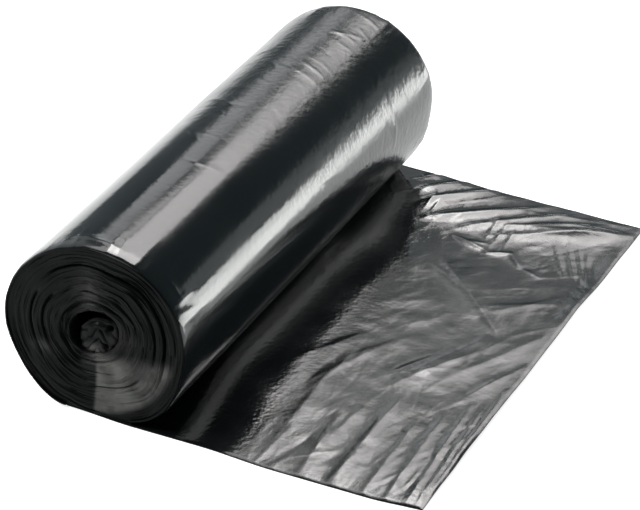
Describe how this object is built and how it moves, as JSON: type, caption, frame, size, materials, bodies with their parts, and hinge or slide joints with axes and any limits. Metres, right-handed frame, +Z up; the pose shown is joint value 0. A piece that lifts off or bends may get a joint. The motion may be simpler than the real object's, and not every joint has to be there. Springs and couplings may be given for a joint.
{
  "type": "bin bag roll",
  "caption": "Coreless roll of folded black plastic bin bags lying on its side, its loose outer end drawn out flat along the floor",
  "frame": {"origin": "on the floor under the roll's middle, at half the roll's length: the centre of the flat spot that the soft roll rests on", "axes": "+Z up, +Y along the roll, +X the way the loose outer end is drawn out"},
  "size_m": [0.2125, 0.3, 0.087],
  "materials": {
    "black_film": "glossy thin polyethylene film, black, finely crumpled"
  },
  "bodies": {
    "root": {"bag_roll": "black_film"}
  },
  "joints": []
}
